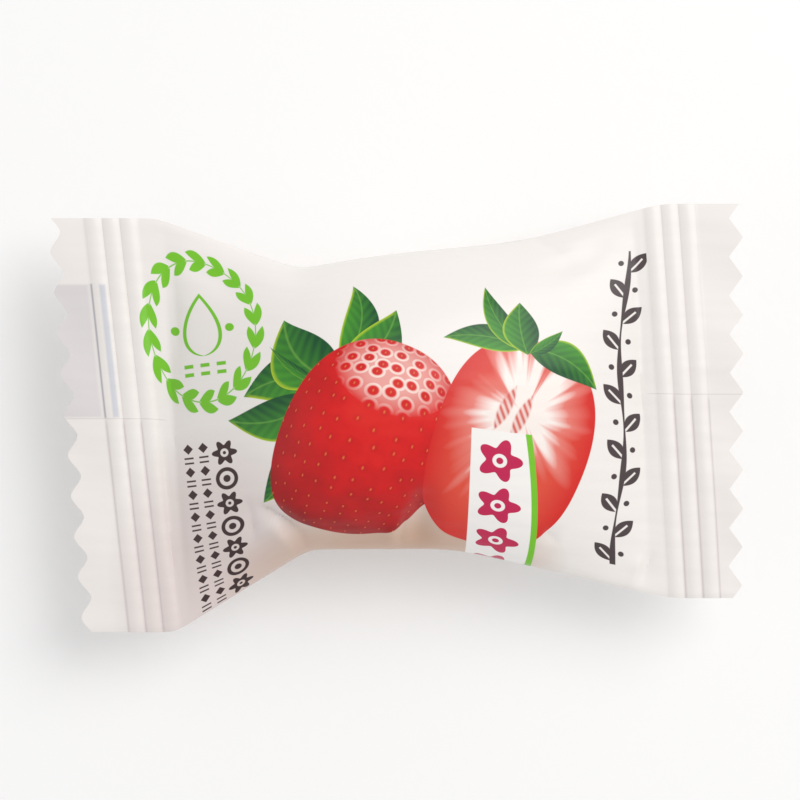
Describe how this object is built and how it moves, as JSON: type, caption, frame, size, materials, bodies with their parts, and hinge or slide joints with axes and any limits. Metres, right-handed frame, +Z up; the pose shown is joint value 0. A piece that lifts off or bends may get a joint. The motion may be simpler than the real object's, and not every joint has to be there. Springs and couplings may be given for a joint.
{
  "type": "wrapped candy ball in a crimped film pillow pack",
  "caption": "Small sealed pillow pack of white printed film round a candy ball, narrow at the waist, with a crimped, tooth-cut seal at each end.",
  "frame": {"origin": "middle of the pack's plan, at the height of the flat spot that it lies on", "axes": "+X along the pack towards its narrower seal, +Y across it towards the side with the shallower waist, +Z up out of the printed front"},
  "size_m": [0.0502, 0.0312, 0.0142],
  "materials": {
    "film": "pearly white printed film with a soft gloss"
  },
  "bodies": {
    "root": {"candy_pack": "film"}
  },
  "joints": []
}
